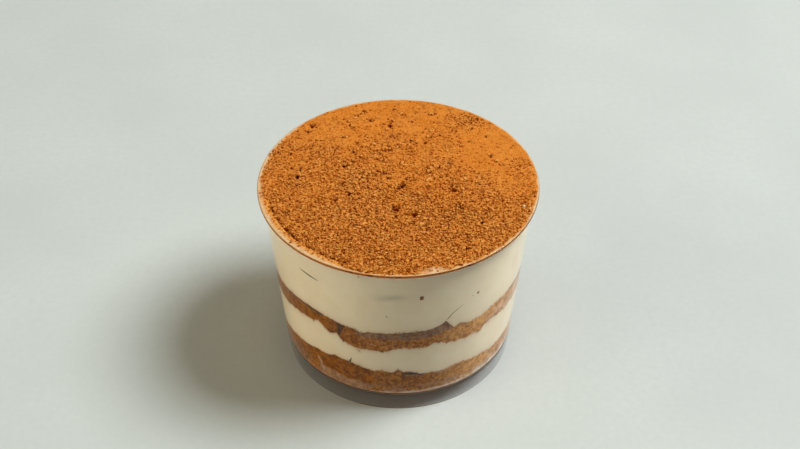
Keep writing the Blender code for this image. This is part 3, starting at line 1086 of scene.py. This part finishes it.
def cocoa_top():
    """The whole cocoa top as one closed piece: relief above, and a flat side hidden on the lip."""
    x, y = disc_grid(COCOA_CELLS)
    azimuth_points = np.stack([x, y, np.zeros_like(x)], axis=-1)
    edge = COCOA_EDGE + 0.07 * MM * lumps(azimuth_points * RIM_RADIUS, 3.0 * MM, 171) * np.hypot(x, y)
    x, y = x * edge, y * edge
    height, hollow = cocoa_height(x, y)
    side = COCOA_CELLS + 1
    points = np.stack([x, y, height], axis=-1).reshape(-1, 3)
    index = np.arange(side * side).reshape(side, side)
    faces = np.stack([index[:-1, :-1], index[1:, :-1], index[1:, 1:], index[:-1, 1:]], axis=-1)
    faces = faces.reshape(-1, 4).tolist()
    border = np.concatenate([index[:-1, 0], index[-1, :-1], index[:0:-1, -1], index[0, :0:-1]])
    count = len(border)
    unit = points[border, :2] / np.hypot(points[border, 0], points[border, 1])[:, None]
    rings = [points]
    under_lip = CUP_HEIGHT - 0.08 * MM
    tucked_in = COCOA_EDGE - 0.05 * MM
    for radius, level in ((tucked_in, under_lip), (INSIDE, under_lip), (INSIDE, CREAM_TOP.mean * MM)):
        rings.append(np.column_stack([unit * radius, np.full(count, level)]))
    ring = border
    for number in range(3):
        below = len(points) + number * count + np.arange(count)
        for i in range(count):
            after = (i + 1) % count
            faces.append((int(ring[after]), int(ring[i]), int(below[i]), int(below[after])))
        ring = below
    faces.append(tuple(int(i) for i in reversed(ring)))
    hidden = np.zeros(3 * count)
    painted = {
        "hollow": np.concatenate([hollow.reshape(-1), hidden]),
        "thin_and_lip_highlight": np.concatenate([thin_powder_and_lip_highlight(x, y).reshape(-1), hidden]),
        "grain": np.concatenate([coarseness(x, y).reshape(-1), hidden]),
    }
    points = np.concatenate(rings)
    return make_piece("cocoa_top", points, faces, cocoa, painted, "cocoa_dusting")


cocoa_top()

# %% [markdown]
# ## Loose clumps
# Some cocoa stays as separate clumps on top. Each is a small ball of few faces, squashed and dented,
# sunk into the relief below it, with painted shade on its lower half. There are three kinds: fine
# grains, larger clumps, and a few that stand at the edges of the pits and shade them. Each kind is
# joined into one mesh, because thousands of objects would be slow and copies by particles would be lost
# when the model leaves Blender.

# %% Clumps
def set_level(height, radii):
    """Centres a third of a radius above the powder, but no higher than the solid cocoa's top allows."""
    top_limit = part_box("cocoa_dusting")[1][2] - 0.02 * MM
    return np.minimum(height + 0.35 * radii, top_limit - 1.25 * radii)


def clump_places(spacing, smallest, largest, seed):
    """Places on the cocoa on a shaken grid, mostly where it is coarse, with sizes and tones."""
    draw = np.random.default_rng(seed)
    reach = COCOA_EDGE - 0.7 * MM
    line = np.arange(-reach, reach, spacing)
    x, y = [place.reshape(-1) for place in np.meshgrid(line, line)]
    x = x + draw.uniform(-0.5, 0.5, len(x)) * spacing
    y = y + draw.uniform(-0.5, 0.5, len(y)) * spacing
    on_top = np.hypot(x, y) < reach
    wanted = 0.03 + 0.85 * coarseness(x, y) * (1.0 - smooth_rim(x, y))
    keep = on_top & (draw.random(len(x)) < wanted)
    x, y = x[keep], y[keep]
    height, hollow = cocoa_height(x, y)
    radii = smallest + (largest - smallest) * draw.random(len(x)) ** 1.6 * (0.4 + 0.6 * coarseness(x, y))
    tone = 0.04 + 0.6 * draw.random(len(x)) ** 3
    shading = 0.25 + 0.75 * coarseness(x, y)
    centres = np.stack([x, y, set_level(height, radii)], axis=-1)
    keep = hollow < 0.9
    return centres[keep], radii[keep], (tone[keep], shading[keep])


def pit_edge_clumps():
    """One or two larger clumps beside each pit, standing proud so that they shade it."""
    draw = np.random.default_rng(205)
    pits = np.array(pit_places() * 2)
    angle = draw.uniform(0.0, 2.0 * math.pi, len(pits))
    away = pits[:, 2] * draw.uniform(0.9, 1.5, len(pits))
    x = pits[:, 0] + away * np.cos(angle)
    y = pits[:, 1] + away * np.sin(angle)
    height, hollow = cocoa_height(x, y)
    radii = (0.4 + 0.45 * draw.random(len(pits)) ** 1.5) * MM
    keep = (hollow < 0.9) & (np.hypot(x, y) < INSIDE - 0.8 * MM)
    centres = np.column_stack([x, y, set_level(height, radii)])[keep]
    count = len(centres)
    return centres, radii[keep], (np.full(count, 0.1), np.ones(count))


centres, radii, tones = clump_places(0.66 * MM, 0.22 * MM, 0.42 * MM, 181)
scatter("cocoa_grains", centres, radii, 1, 183, 0.9, cocoa, tones)
centres, radii, tones = clump_places(1.6 * MM, 0.34 * MM, 0.75 * MM, 191)
scatter("cocoa_clumps", centres, radii, 2, 193, 0.8, cocoa, tones)
centres, radii, tones = pit_edge_clumps()
scatter("cocoa_edge_clumps", centres, radii, 2, 207, 0.85, cocoa, tones)

# %% [markdown]
# ## Specks of cream
# A spoon or a finger has left two specks of cream on the cocoa beside the lip on the right. They are
# two flattened balls set on the relief, made by the same scatter as the clumps.

# %% Cream specks
SPECKS = ((39.3, -12.7, 0.42), (41.2, -13.8, 0.34))
speck_table = np.array(SPECKS) * MM
height, _ = cocoa_height(speck_table[:, 0], speck_table[:, 1])
centres = np.column_stack([speck_table[:, :2], height + 0.2 * speck_table[:, 2]])
scatter("cream_specks", centres, speck_table[:, 2], 3, 195, 0.6, cream)
print("specks of cream:", len(SPECKS))

# %% [markdown]
# ## Marks behind the wall
# A few small things lie between cream and plastic: a thin void, dark with painted shade, a hairline
# crack that starts at a peak of the sponge, and dark ticks where a finger's skin pokes out. The void and
# the ticks share one material. Each line is a thin ribbon that follows the wall, with a width of its own
# along its run.

# %% Marks
def ribbon(run, widths, lift):
    """Points and faces of a thin closed ribbon along a run of (azimuth, height in mm) places."""
    run = np.array(run, dtype=float)
    places = len(run)
    knots = np.linspace(0.0, places - 1.0, 8 * (places - 1) + 1)
    azimuth = np.interp(knots, np.arange(places), run[:, 0])
    height = np.interp(knots, np.arange(places), run[:, 1]) * MM
    half = 0.5 * np.interp(knots, np.arange(places), widths) * MM
    radius = inner_wall(height) + REACH + lift
    along_x = np.gradient(np.radians(azimuth) * radius)
    along_y = np.gradient(height)
    length = np.hypot(along_x, along_y)
    side_turn = np.degrees(-along_y / length * half / radius)
    side_rise = along_x / length * half
    corners = []
    for sign, depth in ((1, 0.0), (-1, 0.0), (-1, -0.12 * MM), (1, -0.12 * MM)):
        angle = np.radians(azimuth + sign * side_turn)
        level = height + sign * side_rise
        reach = inner_wall(level) + REACH + lift + depth
        corners.append(np.stack([reach * np.sin(angle), -reach * np.cos(angle), level], axis=-1))
    points = np.stack(corners, axis=1).reshape(-1, 3)
    faces = []
    for i in range(len(knots) - 1):
        for corner in range(4):
            after = (corner + 1) % 4
            faces.append((4 * i + corner, 4 * i + after, 4 * i + 4 + after, 4 * i + 4 + corner))
    faces += [(3, 2, 1, 0), tuple(4 * (len(knots) - 1) + corner for corner in range(4))]
    return points, faces


def mark_material(name, colour, second):
    """A matt, faintly mottled mark."""
    material, tree, shader = new_material(name)
    mottle = rescale(tree, noise(tree, 0.8 * MM, detail=2.0), 0.35, 0.65)
    tree.links.new(mix_colour(tree, mottle, colour, second), shader.inputs["Base Color"])
    shader.inputs["Roughness"].default_value = 0.7
    return material


def marks(name, ribbons, material):
    """Joins several ribbons into one piece."""
    all_points, all_faces, first = [], [], 0
    for run, widths in ribbons:
        points, faces = ribbon(run, widths, 0.04 * MM)
        all_points.append(points)
        all_faces += [tuple(first + corner for corner in face) for face in faces]
        first += len(points)
    return make_piece(name, np.concatenate(all_points), all_faces, material)


# The first run is the void, dark with painted shade; the other two are ticks of a finger's skin.
VOIDS = (
    (((-46.5, 54.9), (-43.0, 54.6), (-40.0, 54.3), (-35.5, 53.9)), (0.05, 0.55, 0.6, 0.05)),
    (((-23.4, 20.0), (-22.9, 21.3), (-22.1, 22.8)), (0.8, 0.5, 0.08)),
    (((-24.3, 19.4), (-24.1, 20.6), (-24.2, 21.2)), (0.4, 0.3, 0.08)),
)
HAIRLINES = (
    (
        ((21.6, 41.0), (22.6, 42.2), (24.2, 43.6), (27.0, 45.0), (29.0, 46.0)),
        (0.4, 0.5, 0.35, 0.25, 0.1),
    ),
    (((-19.4, 27.6), (-18.2, 27.1), (-17.4, 26.4)), (0.15, 0.5, 0.1)),
)
void_shade_and_skin_material = mark_material("void shade and finger skin", srgb(84, 58, 30), srgb(118, 92, 54))
hairline_material = mark_material("hairline", srgb(176, 158, 112), srgb(202, 184, 140))
marks("cream_voids", VOIDS, void_shade_and_skin_material)
marks("cream_hairlines", HAIRLINES, hairline_material)

# %% [markdown]
# ## Crumbs in the cream
# A few crumbs of sponge were stirred into the cream and stopped against the wall. Each is one dented
# ball, listed by its azimuth, its height and its radius in millimetres, in darker tones than the sponge.

# %% Crumbs in the cream
CRUMBS = (
    (9.7, 53.4, 0.78), (36.2, 48.5, 0.5), (-16.3, 61.8, 0.32), (-5.0, 45.4, 0.3), (33.4, 48.2, 0.34),
)
CRUMB_DEPTH = 0.25 * MM


def crumb_material():
    """The same crumb as the sponge, in darker tones."""
    material, tree, shader = new_material("loose crumb")
    crumb = place(tree, "ShaderNodeGroup", node_tree=CRUMB)
    tones = {"Dark": srgb(104, 58, 22), "Middle": srgb(150, 92, 40), "Light": srgb(196, 136, 76)}
    for name, tone in tones.items():
        crumb.inputs[name].default_value = tone
    tree.links.new(crumb.outputs["Color"], shader.inputs["Base Color"])
    shader.inputs["Roughness"].default_value = 0.8
    return material


crumb_table = np.array(CRUMBS)
centres = on_wall(crumb_table[:, 0], crumb_table[:, 1] * MM, CRUMB_DEPTH)
radii = crumb_table[:, 2] * MM
scatter("cream_crumbs", centres, radii, 3, 201, 1.15, crumb_material())

# %% [markdown]
# ## Floor, light and camera
# The cup stands on a plain pale floor. A broad lamp to the right throws a soft shadow to the left.
# A wide warm glow low on the left stands in for a wall that sends some of that light back, and keeps the
# shaded side of the cream bright. The camera looks down with a longish lens.

# %% Floor
def floor_material():
    """A pale, matt, almost even grey."""
    material, tree, shader = new_material("pale floor")
    cloud = rescale(tree, noise(tree, 60.0 * MM, detail=4.0), 0.3, 0.7)
    speckle = rescale(tree, noise(tree, 2.5 * MM, detail=4.0, roughness=0.7), 0.3, 0.7, 0.0, 0.5)
    colour = mix_colour(tree, cloud, srgb(212, 217, 214), srgb(220, 225, 222))
    tree.links.new(mix_colour(tree, speckle, colour, srgb(206, 212, 209)), shader.inputs["Base Color"])
    shader.inputs["Roughness"].default_value = 0.9
    shader.inputs["Specular IOR Level"].default_value = 0.2
    return material


bpy.ops.mesh.primitive_plane_add(size=6.0, location=(0.0, 0.0, -0.0001))
floor = bpy.context.object
floor.name = "studio_floor"
floor.data.materials.append(floor_material())

# %% Lights
KEY = {"turn": 6.0, "rise": 56.0, "across": 1.12, "power": 53.0, "colour": (0.96, 1.0, 1.0)}
KEY_DISTANCE = 2.4
GLOW = {"turn": 190.0, "rise": 18.0, "colour": (2.0, 1.85, 1.42), "focus": 7.0}
ROOM = (0.07, 0.065, 0.055)


def towards(turn, rise):
    """The unit direction at a turn from +X towards the back and a rise above the floor, in degrees."""
    turn, rise = math.radians(turn), math.radians(rise)
    return math.cos(rise) * math.cos(turn), math.cos(rise) * math.sin(turn), math.sin(rise)


def key_lamp():
    """A round area lamp aimed at the cup."""
    lamp = bpy.data.lights.new("key", "AREA")
    lamp.shape = "DISK"
    lamp.size = KEY["across"]
    lamp.energy = KEY["power"]
    lamp.color = KEY["colour"]
    holder = bpy.data.objects.new("key", lamp)
    holder.location = [KEY_DISTANCE * part for part in towards(KEY["turn"], KEY["rise"])]
    holder.rotation_euler = (0.0, math.radians(90.0 - KEY["rise"]), math.radians(KEY["turn"]))
    bpy.context.scene.collection.objects.link(holder)


def studio_world():
    """A dim even room with one wide soft glow."""
    world = bpy.data.worlds.new("studio")
    world.use_nodes = True
    tree = world.node_tree
    direction = place(tree, "ShaderNodeTexCoord").outputs["Generated"]
    aim = towards(GLOW["turn"], GLOW["rise"])
    facing = place(tree, "ShaderNodeVectorMath", {0: direction, 1: aim}, operation="DOT_PRODUCT")
    power = {0: facing.outputs["Value"], 1: GLOW["focus"], 2: -GLOW["focus"]}
    falling = place(tree, "ShaderNodeMath", power, operation="MULTIPLY_ADD").outputs["Value"]
    strength = place(tree, "ShaderNodeMath", {0: falling}, operation="EXPONENT").outputs["Value"]
    light = mix_colour(tree, strength, (*ROOM, 1.0), (*GLOW["colour"], 1.0), "ADD")
    tree.links.new(light, tree.nodes["Background"].inputs["Color"])
    bpy.context.scene.world = world


key_lamp()
studio_world()

# %% Camera
CAMERA_DISTANCE = 0.447
CAMERA_RISE = math.radians(38.77)
LOOK_DOWN = math.radians(40.53)
LOOK_RIGHT = math.radians(0.09)
LENS = 63.0

camera_data = bpy.data.cameras.new("camera")
camera_data.lens = LENS
camera = bpy.data.objects.new("camera", camera_data)
back = CAMERA_DISTANCE * math.cos(CAMERA_RISE)
up = CAMERA_DISTANCE * math.sin(CAMERA_RISE)
camera.location = (0.0, -back, CUP_HEIGHT + up)
camera.rotation_euler = (math.pi / 2.0 - LOOK_DOWN, 0.0, -LOOK_RIGHT)
bpy.context.scene.collection.objects.link(camera)
bpy.context.scene.camera = camera
bpy.context.scene.view_settings.view_transform = "Standard"
